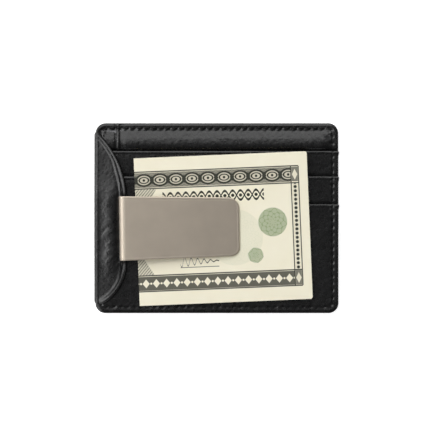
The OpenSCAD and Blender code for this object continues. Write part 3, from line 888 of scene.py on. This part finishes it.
def flap_filler():
    """Thin board inside the flap, above and below the clip's plate, that follows the leather."""
    half = CLIP_W / 2 + 0.1
    boards = []
    for y0, y1 in ((FOOT_Y + 1.05, CLIP_Y - half), (CLIP_Y + half + 0.2, LIPS[3])):
        ys = np.linspace(y0, y1, 40)[:, None]
        x0, x1 = flap_left(ys) + 2.6, flap_right(ys) - 2.3
        x = x0 + np.maximum(x1 - x0, 0.5) * np.linspace(0, 1, 24)
        y = ys + 0 * x
        top = np.maximum(flap_face(x, y) - 1.0, surface_z(x, y) + 0.06)
        base = np.minimum(surface_z(x, y) + 0.02, top - 0.04)
        boards.append((np.stack([x, y, top], -1), np.stack([x, y, base], -1)))
    add_sheet("flap_filler_board", GREYBOARD, "wallet", "greyboard", "flap_reinforcement", 50, *boards)


flap_filler()


def flap_edge_paint_and_painted_shadow():
    """The matt bead of paint along the flap's curved cut edge, against the leather it lies on: edge paint
    on the cut edge, and painted contact shadow where it spreads onto the leather below.
    """
    radius, beyond, around = 0.26, 0.02, np.linspace(0, 2 * pi, 11)[:-1]
    head = asin((HEAD_Y - 1.2 - STRAIGHT_TOP) / HEAD_R)
    foot = asin((STRAIGHT_BOTTOM - FOOT_Y - 0.9) / FOOT_R)
    pts = arc(FLAP_EDGE - HEAD_R, STRAIGHT_TOP, HEAD_R, head, 0, 150)
    pts += [(FLAP_EDGE, y) for y in np.linspace(STRAIGHT_TOP, STRAIGHT_BOTTOM, 60)[1:]]
    pts = np.array(pts + arc(FLAP_EDGE - FOOT_R, STRAIGHT_BOTTOM, FOOT_R, 0, -foot, 150)[1:])
    ahead = unit(np.gradient(pts, axis=0))
    out = np.stack([-ahead[:, 1], ahead[:, 0]], 1)          # away from the flap
    z = averaged(surface_z(*(pts + 0.1 * out).T) + 0.14, 4)[:, None]
    places = np.arange(len(pts))
    wide = radius * np.minimum(1, np.minimum(places, places[::-1]) / 8 + 0.1)[:, None]
    # the bead reaches out over the leather beside the edge, where its dark matt band is painted contact
    # shadow
    aside = beyond + np.cos(around) * wide
    x, y = pts[:, :1] + out[:, :1] * aside, pts[:, 1:] + out[:, 1:] * aside
    n, m = x.shape
    faces = tube_faces(n, m).tolist() + [list(range(m))[::-1], list(range((n - 1) * m, n * m))]
    add_mesh("flap_edge_paint_and_painted_shadow", flat_list(x, y, z + 1.1 * np.sin(around) * wide), faces, EDGE_PAINT_AND_SHADOW,
             "wallet", angle=60)


flap_edge_paint_and_painted_shadow()

# ---- the clip


def clip_side_view():
    """The middle line of the leaf as (across, height) points: up through the slit, over a tight
    bend that ends in a wider one, along the bowed blade and up into the flared tip."""
    tight_r, wide_r, wide_a = 1.95 - CLIP_T / 2, 8.0, radians(9)
    flare_r, flare_a = 12.0, radians(5)
    bend_span, bow, rise, play, note_t = 3.36, 0.275, 2.4, 0.1, 0.64
    blade = CLIP_L - bend_span - (flare_r + CLIP_T) * sin(flare_a)
    hinge_z = LEVELS[3] + CLIP_T + 0.3 + 0.35
    note_top = LEVELS[3] + play + note_t
    top_z = FLAP_TOP + rise - CLIP_T / 2
    slope = asin((top_z - CLIP_T / 2 - note_top - play) / blade)
    x0, z0 = CLIP_T / 2, top_z - tight_r * cos(wide_a) - wide_r * (1 - cos(wide_a))
    pts = [(x0, hinge_z - 0.3), (x0, hinge_z)]
    for r, first, last in ((tight_r, pi / 2, wide_a), (wide_r, wide_a, -slope)):
        for a in np.linspace(first, last, 26):
            pts.append((x0 + r * (sin(first) - sin(a)), z0 + r * (cos(a) - cos(first))))
        x0, z0 = pts[-1]
    for k in np.linspace(0, 1, 60)[1:]:
        x1, z1 = x0 + blade * k * cos(slope), z0 - blade * k * sin(slope)
        pts.append((x1, z1 + 4 * k * (1 - k) * bow))
    r, a = flare_r + CLIP_T / 2, -pi / 2 - slope
    flare = arc(x1 + r * sin(slope), z1 + r * cos(slope), r, a, a + flare_a, 26)
    return np.array(pts + flare[1:])


def make_clip():
    """The leaf: the side view swept across its width, with round corners at the tip."""
    half_w, half_t, tip_corners = CLIP_W / 2, CLIP_T / 2, ((1, 5.2), (-1, 4.1))
    pts = clip_side_view()
    s = path_length(pts)
    total = s[-1]
    # rows and columns of the grid, closer together near the edges
    near = np.array([0, 0.01, 0.04, 0.09, 0.16, 0.25, 0.36, 0.5, 0.62, 0.74, 0.84, 0.92, 1.0, 1.1,
                     1.25, 1.5])
    length = np.concatenate([
        np.linspace(0, 12, 60), np.linspace(12, total - 5.6, 70)[1:],
        np.linspace(total - 5.6, total - 1.5, 18)[1:-1], (total - near)[::-1]])
    width = np.concatenate([
        -half_w + near[:-1], np.linspace(-half_w + 1.5, half_w - 1.5, 64), (half_w - near[:-1])[::-1]])
    us, uw = rounded(*np.meshgrid(length, width, indexing="ij"),
                     [(1, side, total, side * half_w, r) for side, r in tip_corners])
    # distance to the nearest edge, before the taper
    d = np.minimum(total - us, half_w - np.abs(uw))
    for side, r in tip_corners:
        qs, qw = us - (total - r), side * uw - (half_w - r)
        d = np.minimum(d, np.where((qs > 0) & (qw > 0), r - np.hypot(qs, qw), inf))
    d = np.maximum(d, 0)
    across, height = along_path(us, pts, s)
    uw = uw * (1 - (1 - CLIP_TIP_W / CLIP_W) * np.clip(across / CLIP_L, 0, 1))
    across, uw = turned(across, uw, -CLIP_TILT)
    middle = np.stack([CLIP_X + across, CLIP_Y + uw, height], -1)
    # rounded edge, then a shallow chamfer that ends in a faint line
    rolled = half_t - 0.24 * drop(d, 0.75) / 0.75 - drop(d, 0.2) - 0.035 * bell(d, 1.25, 0.28)
    rolled = np.where(d <= 0, 0.0, np.maximum(rolled, 0.02))
    up = middle + normals(middle) * rolled[..., None]
    down = middle - normals(middle) * (half_t - drop(d, 0.22))[..., None]
    add_sheet("clip_spring_leaf", NICKEL, "clip", "spring_steel", "clip_leaf", 40, (up, down))


make_clip()

# ---- the folded note


def note_material():
    """Cream paper with a generic printed design; u runs from the fold and v from the foot, in mm."""
    s = Shader("printed_note")
    add, sub, mul, div, mul_add = s.add, s.sub, s.mul, s.div, s.mul_add
    c, t = cos(NOTE_TILT), sin(NOTE_TILT)
    place = s.split(s.place)
    x, y = mul_add(place[0], 1000, -NOTE_X), mul_add(place[1], 1000, -NOTE_Y)
    u = add(mul_add(x, c, mul(y, t)), NOTE_W / 2)
    v = add(mul_add(y, c, mul(x, -t)), NOTE_H / 2)

    def inside(value, a, b, soft=0.12):
        """1 between a and b."""
        return s.calc("MINIMUM", div(sub(value, a), soft, clamp=True), div(sub(b, value), soft, clamp=True))

    def line(value, width, soft=0.10):
        """1 where value is within width of zero."""
        return div(sub(width, s.absolute(value)), soft, clamp=True)

    def wave(along, length, height, phase=0.0):
        return mul(s.sine(mul_add(along, 2 * pi / length, phase)), height)

    def either(*values):
        return reduce(s.larger, values)

    def both(*values):
        return reduce(mul, values)

    def repeat(value, pitch, start):
        """The distance from the middle of each cell of a row of cells."""
        return mul(sub(s.calc("FRACT", div(sub(value, start), pitch)), 0.5), pitch)

    def radius(du, dv, a=1.0, b=1.0):
        x, y = div(du, a), div(dv, b)
        return s.calc("SQRT", add(mul(x, x), mul(y, y)))

    def oval(du, dv, a, b, width):
        return line(mul(sub(radius(du, dv, a, b), 1.0), min(a, b)), width)

    def dot(du, dv, r):
        return div(sub(r, radius(du, dv)), 0.25, clamp=True)

    def lozenge(du, dv, a, b):
        return div(sub(1.0, add(div(s.absolute(du), a), div(s.absolute(dv), b))), 0.12, clamp=True)

    def braid(across, height, length, width):
        """Two crossing waves along u with a dot in each eye."""
        strands = [line(sub(across, wave(u, length, height, k)), width) for k in (0, pi)]
        return either(*strands, dot(repeat(u, length / 2, 0.0), across, 0.42 * height))

    def rosette(cu, cv, size, petals, rings, width=0.16):
        """Rings of crossing petals, and the disc that they fill."""
        du, dv = sub(u, cu), sub(v, cv)
        r, a = radius(du, dv), s.calc("ARCTAN2", dv, du)
        out = []
        for k in range(rings):
            swell = mul(s.sine(mul_add(a, petals, pi * k)), size * 0.13)
            out.append(line(sub(sub(r, size * (0.30 + 0.58 * k / (rings - 1))), swell), width, 0.16))
        return either(*out), div(sub(size * 1.06, r), 0.3, clamp=True)

    head, foot, edge = 56.2, 9.8, 71.9    # middles of the two bands and of the right border
    rule_vs, rule_us = (6.3, 13.4, 52.4, 60.0), (73.6, 70.2)
    # top band: a chain of ovals on waved ground
    tu, tv = repeat(u, 7.2, 0.6), sub(v, head)
    chain = either(oval(tu, tv, 3.4, 2.5, 0.46), oval(tu, tv, 2.1, 1.35, 0.30), dot(tu, tv, 0.75),
                   lozenge(repeat(u, 7.2, 4.2), tv, 1.1, 2.2))
    ground = line(sub(repeat(v, 1.15, 52.8), wave(u, 2.4, 0.34)), 0.16)
    outside = s.calc("GREATER_THAN", radius(tu, tv, 3.5, 2.5), 1.0)
    top = either(chain, both(ground, outside, 0.95), mul(outside, 0.72), 0.34)
    top = both(inside(v, 52.8, 59.6), inside(u, -1, 70.4), top)
    # bottom band: pale lozenges and beads on a dark ground
    lv = sub(v, foot)
    marks = either(lozenge(repeat(u, 4.6, 1.0), lv, 1.7, 2.1), dot(repeat(u, 4.6, 3.3), lv, 0.6))
    bottom = both(inside(v, 6.6, 13.0), inside(u, -1, 70.4), sub(0.90, mul(marks, 0.88)))
    # right border: beads between rules, with a square block at either corner
    beads = either(dot(sub(u, edge), repeat(v, 1.9, 0.3), 0.85), 0.12)
    inks = [top, bottom, both(beads, inside(u, 70.6, 73.2), inside(v, 13.2, 52.6))]
    for k in (foot, head):
        mark = lozenge(sub(u, edge), sub(v, k), 1.3, 2.6)
        inks.append(both(inside(u, 70.4, 73.4), inside(v, k - 3.2, k + 3.4), sub(0.8, mul(mark, 0.7))))
    inks += [both(line(sub(v, k), 0.3), inside(u, -1, rule_us[0])) for k in rule_vs]
    inks += [both(line(sub(u, k), 0.28), inside(v, rule_vs[0], rule_vs[-1])) for k in rule_us]
    # a plaited band under the top one and a shorter one beneath it
    inks += [both(braid(sub(v, 47.9), 2.1, 7.0, 0.60), inside(u, 12.2, 57.8)),
             both(braid(sub(v, 43.2), 1.15, 4.0, 0.42), inside(u, 24.0, 46.0))]
    # a penned flourish that dies away
    swing = mul(wave(u, 2.9, 1.0), mul(sub(37.0, u), 0.13))
    pen = either(line(sub(sub(v, 18.9), swing), 0.32), line(sub(v, 16.4), 0.2))
    inks.append(mul(both(pen, inside(u, 19, 36.5)), 0.9))
    # slanting rules in the corner by the fold
    wedge = both(inside(add(u, mul(s.absolute(sub(v, 31)), -0.62)), -50, -3.4, 0.3), inside(v, 13.6, 52.2))
    inks += [both(line(repeat(sub(u, mul(v, 0.9)), 1.35, 0.0), 0.2), wedge), mul(wedge, 0.3)]

    petals, disc = rosette(61.2, 35.2, 6.2, 8, 4, 0.26)
    small, small_disc = rosette(53.0, 20.6, 3.3, 6, 2, 0.22)
    wide, wide_disc = rosette(44.0, 29.0, 12.0, 12, 6)
    colour = s.ramp(s.noise(9, 3), (0.3, (0.955, 0.90, 0.71)), (0.7, (0.975, 0.925, 0.745)))
    for amount, ink in (
            (either(mul(wide_disc, 0.16), mul(wide, 0.45)), (0.52, 0.60, 0.42)),
            (either(mul(disc, 0.7), petals, mul(small_disc, 0.65), small), (0.27, 0.36, 0.19)),
            (either(*inks), (0.045, 0.046, 0.036))):
        colour = s.mix(s.calc("MINIMUM", amount, 1.0), colour, ink)
    return s.surface(Base_Color=colour, Normal=s.bump(s.noise(0.35, 3, 0.6), 0.012),
                     Roughness=0.72, Specular_IOR_Level=0.25)


def note_place(u, v, z):
    """Points of the note's own frame, whose origin is its corner at the fold and the foot."""
    x, y = turned(u - NOTE_W / 2, v - NOTE_H / 2, -NOTE_TILT)
    return np.stack([NOTE_X + x, NOTE_Y + y, z], -1)


def note_lift(u, v):
    """How far the top leaf's free edges curl up."""
    right, up, down = smooth(50, NOTE_W, u), smooth(40, NOTE_H, v), smooth(20, 0, v)
    return 0.45 * right * (0.4 + 0.6 * up) + 0.25 * up + 0.12 * down + 0.05 * noise(u, v, 16, 91)


def make_note():
    """Two leaves of paper joined by the fold, as one closed sheet."""
    thick, gap, fold_u = 0.12, 0.52, 0.32     # the gap is between the leaves' middles
    half_t, r = thick / 2, gap / 2
    base = low("folded_note")[2] + half_t
    last = np.array([1.0, 0.75, 0.5, 0.3, 0.15, 0.05, 0])
    us = np.concatenate([np.linspace(fold_u, 3, 10), np.linspace(3, NOTE_W - 1.2, 110)[1:], NOTE_W - last])
    vs = np.concatenate([last[::-1], np.linspace(1.2, NOTE_H - 1.2, 100), NOTE_H - last])
    corners = [(1, 1, NOTE_W, NOTE_H, 1.0), (1, -1, NOTE_W, 0, 1.0)]
    u, v = rounded(*np.meshgrid(us, vs, indexing="ij"), corners)
    top = note_place(u, v, base + gap + note_lift(u, v))
    under = note_place(u - 0.35 * smooth(2, NOTE_W, u), v, base + 0 * u)
    fold = np.linspace(pi / 2, 1.5 * pi, 13)[1:-1, None]
    fold_v = vs + 0 * fold
    fold_z = base + r + r * np.sin(fold) + note_lift(0 * fold_v, fold_v) * (0.5 + 0.5 * np.sin(fold))
    turn = note_place(r * np.cos(fold) + fold_u + 0 * fold_v, fold_v, fold_z)
    middle = np.concatenate([top[::-1], turn, under], 0)
    out = normals(middle) * half_t
    add_sheet("folded_note_paper", note_material(), "note", "note_paper", "folded_note", 60,
              (middle + out, middle - out))


make_note()

# ---- the back

PANEL_Z = low("back_panel")[2]


def back_panel():
    ys = with_edges(lines(BOTTOM, TOP, 1.2, [TOP - 2], 2.6, 0.25))
    xs = with_edges(lines(PANEL_LEFT, RIGHT, 0.8, [PANEL_LEFT + 2, RIGHT - 2], 2.4, 0.25))
    z1 = high("back_panel")[2] - 0.01

    def face(x, y):
        d = body_distance(x, y)
        shown = smooth(LIPS[1] - 12, LIPS[1] - 8, y)        # above the window pocket
        z = PANEL_Z + drop(d, 0.36) + shown * (0.30 * bell(d, 2.05, 0.45) - 0.05 * bell(d, 1.0, 0.5))
        return z - 0.04 * shown * wrinkled(x, y, 5, 101) * smooth(2, 3, d)

    panel("back_leather", "back_panel", xs, ys, [TOP_LEFT, TOP_RIGHT, BOTTOM_LEFT, BOTTOM_RIGHT],
          lambda x, y: z1 + 0 * x, face, out=0.05)


def under_flap(x, y):
    """Where the flap's leg lies between the back panel and the pocket's frame."""
    play = 0.2
    return (x < LEFT + FLAP_LEG + play) & (y > FOOT_Y - play) & (y < HEAD_Y)


def window_frame():
    """The window pocket's leather: a ring from the body's outline to the window's edge."""
    count, lip_r = 640, 0.8
    most = 0.42                       # how far across the ring the rows of either edge may reach
    thumb = acos((THUMB_R - THUMB_DIP) / THUMB_R)
    notch = THUMB_R * sin(thumb)
    quarter, notch_y = pi / 2, POCKET_LIP - THUMB_DIP + THUMB_R
    # outer outline, anticlockwise from the lip's right end, with the thumb notch in the lip
    outer = arc(RIGHT - lip_r, POCKET_LIP - lip_r, lip_r, 0, quarter, 8)
    outer += [(notch + 0.5, POCKET_LIP)]
    outer += arc(0, notch_y, THUMB_R, -quarter + thumb, -quarter - thumb, 40)
    outer += [(-notch - 0.5, POCKET_LIP)]
    outer += arc(PANEL_LEFT + lip_r, POCKET_LIP - lip_r, lip_r, quarter, 2 * quarter, 8)
    outer += arc(PANEL_LEFT + CORNER, BOTTOM + CORNER, CORNER, 2 * quarter, 3 * quarter, 24)
    outer += arc(RIGHT - CORNER, BOTTOM + CORNER, CORNER, 3 * quarter, 4 * quarter, 24)
    outer = np.array(outer + outer[:1])
    s = path_length(outer)
    ox, oy = along_path(np.linspace(0, s[-1], count + 1)[:-1], outer, s)
    # matching points on the window's edge, corner to corner
    window = []
    for k, (sx, sy) in enumerate(((1, 1), (-1, 1), (-1, -1), (1, -1))):
        window += arc(sx * (WINDOW_HALF_W - WINDOW_R), WINDOW_Y + sy * (WINDOW_HALF_H - WINDOW_R), WINDOW_R,
                      k * quarter, (k + 1) * quarter, 16)
    window = np.array(window + window[:1])
    s = path_length(window)
    corners = [np.argmin(np.hypot(ox - x, oy - y)) for x, y in (
        (PANEL_LEFT, POCKET_LIP), (PANEL_LEFT + 1.3, BOTTOM + 1.3), (RIGHT - 1.3, BOTTOM + 1.3))]
    at = np.interp(np.arange(count), [0, *corners, count], [*s[8:57:16], s[8] + s[-1]]) % s[-1]
    wx, wy = along_path(at, window, s)
    # rings of points across, closer together at both edges
    length = np.hypot(ox - wx, oy - wy)
    outer_rows = [*EDGE, 0.6, 0.9, 1.2, 1.5, 1.7, 1.9, 2.1, 2.3, 2.5, 2.8, 3.2]
    inner_rows = [*EDGE, 0.5, 0.7, 0.95, 1.2, 1.5, 1.9]
    rings = [np.minimum(d / length, most) for d in outer_rows]
    a, b = rings[-1], 1 - np.minimum(inner_rows[-1] / length, most)
    rings += [a * (1 - f) + b * f for f in np.linspace(0, 1, 8)[1:-1]]
    rings += [1 - np.minimum(d / length, most) for d in inner_rows[::-1]]
    f = np.array(rings)
    x, y = ox * (1 - f) + wx * f, oy * (1 - f) + wy * f
    d_window = np.maximum(outside_box(x, y, 0, WINDOW_Y, WINDOW_HALF_W, WINDOW_HALF_H, WINDOW_R), 0)
    d_lip = np.where(np.abs(x) < notch, np.hypot(x, y - notch_y) - THUMB_R, POCKET_LIP - y)
    d_lip, d_out = np.maximum(d_lip, 0), np.maximum(body_distance(x, y), 0)
    z = drop(np.minimum(np.minimum(d_out, d_lip), d_window), 0.36)
    z = z + 0.28 * bell(d_out, 2.05, 0.42) * smooth(1.0, 2.4, d_lip) + 0.14 * bell(d_window, 1.5, 0.25)
    z = z + 0.12 * bell(d_lip, 1.6, 0.25) * smooth(1, 2.4, d_out) + 0.03 * wrinkled(x, y, 5, 111)
    # the sewn outline reaches up to the panel, except where the flap's leg lies between
    seam = (d_out < SEWN_W) & ~under_flap(x, y)
    top_z = np.where(seam, PANEL_Z - 0.01, LEATHER)
    top_z[0] = top_z[1]
    k, n = f.shape
    face, wall = tube_faces(k, n), wall_faces(np.arange(n), np.arange(n) + k * n)
    faces = np.concatenate([face, np.roll(face[:, ::-1], 1, 1) + k * n,
                            wall, np.roll(wall[:, ::-1], 1, 1) + (k - 1) * n])
    add_mesh("window_frame_leather",
             np.concatenate([flat_list(x, y, np.clip(z, 0.0, 0.6)), flat_list(x, y, top_z)]),
             faces[:, ::-1], BLACK, "wallet", "id_window_frame", 50)


def back_stitches():
    """The frame's stitches, and the back panel's above the pocket except under the flap."""
    ends = stitch_ends()
    frame_row = [(p, q) for p, q in ends if max(p[1], q[1]) < POCKET_LIP - 0.4]
    panel_row = [(p, q) for p, q in ends if min(p[1], q[1]) > POCKET_LIP + 0.2 and not under_flap(*p)]
    for name, row, z in (("frame_stitches", frame_row, 0.28), ("back_stitches", panel_row, PANEL_Z + 0.22)):
        stitch_row(name, row, lambda x, y: z + 0 * x, 0.24, -1)


back_panel()
window_frame()
back_stitches()

# ---- pieces kept from the CAD

for material, nodes in (
        (VINYL, ["id_window_sheet"]), (GREYBOARD, ["stiffener_board"]), (WADDING, ["padding_sheet"]),
        (LINING, ["back_lining", "slot_1_lining", "slot_2_lining", "slot_3_lining"]),
        (NICKEL, ["clip_base_plate", "clip_rivets"])):
    for node in nodes:
        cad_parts[node].data.materials.clear()
        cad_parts[node].data.materials.append(material)

# ---- camera, floor and light

scene = bpy.context.scene
scene.view_settings.view_transform = "Standard"


def place(name, data):
    obj = bpy.data.objects.new(name, data)
    scene.collection.objects.link(obj)
    return obj


def overhead_camera():
    """Straight above the wallet, far off; span is the width it sees at the table."""
    distance, span, film = 1.5, 0.1949, 36
    data = bpy.data.cameras.new("camera")
    data.sensor_width, data.lens = film, film * distance / span
    data.clip_start, data.clip_end = 0.05, 20
    scene.camera = place("camera", data)
    scene.camera.location = (0.00043, 0.00040, 0.007 + distance)


def backdrop():
    """A pale floor that is a little brighter to the camera and to reflections than it is lit."""
    far, below = 3, 0.00005
    mesh = bpy.data.meshes.new("floor")
    mesh.from_pydata([(-far, -far, 0), (far, -far, 0), (far, far, 0), (-far, far, 0)], [], [(0, 1, 2, 3)])
    floor = place("floor", mesh)
    floor.location.z = -below
    s = Shader("white_floor")
    path = s.node("ShaderNodeLightPath").outputs
    seen = s.larger(path["Is Camera Ray"], path["Is Transmission Ray"])
    seen = s.larger(seen, path["Is Glossy Ray"])
    mesh.materials.append(s.surface(
        Base_Color=(0.9, 0.9, 0.9, 1), Roughness=0.9, Specular_IOR_Level=0.0,
        Emission_Color=(1, 1, 1, 1), Emission_Strength=s.mul(seen, 0.75)))


def world_light(level):
    """A dim even sky that the camera sees as white."""
    scene.world = bpy.data.worlds.new("world")
    scene.world.use_nodes = True
    sky = Nodes(scene.world.node_tree)
    seen = sky.node("ShaderNodeLightPath").outputs["Is Camera Ray"]
    sky.put(sky.tree.nodes["Background"], Color=(1, 1, 1, 1), Strength=sky.mul_add(seen, 1 - level, level))


def softbox(name, lean, turn, distance, size, radiance):
    """An area lamp that faces the origin: lean is its angle from overhead, turn its compass
    angle from +X, both in degrees, and radiance how bright its face is (white paper is 1)."""
    data = bpy.data.lights.new(name, "AREA")
    data.shape = "RECTANGLE"
    data.size, data.size_y = size
    data.energy = radiance * pi * size[0] * size[1]
    lamp = place(name, data)
    a, b = radians(lean), radians(turn)
    d = Vector((sin(a) * cos(b), sin(a) * sin(b), cos(a)))
    lamp.location = d * distance
    lamp.rotation_euler = d.to_track_quat("Z", "Y").to_euler()


overhead_camera()
backdrop()
world_light(0.06)
softbox("key_softbox", 46, 110, 1.3, (1.9, 1.15), 1.9)
softbox("side_softbox", 40, 185, 1.3, (1.5, 0.56), 3.0)
softbox("overhead_softbox", 4, 150, 2.6, (1.3, 1.3), 0.12)
softbox("back_fill", 71, 95, 1.3, (2.0, 0.80), 1.0)
softbox("left_fill", 74, 180, 1.3, (1.6, 0.45), 0.85)
softbox("right_fill", 76, 0, 1.3, (1.6, 0.4), 1.1)
softbox("front_fill", 73, -90, 1.3, (1.6, 0.45), 1.25)
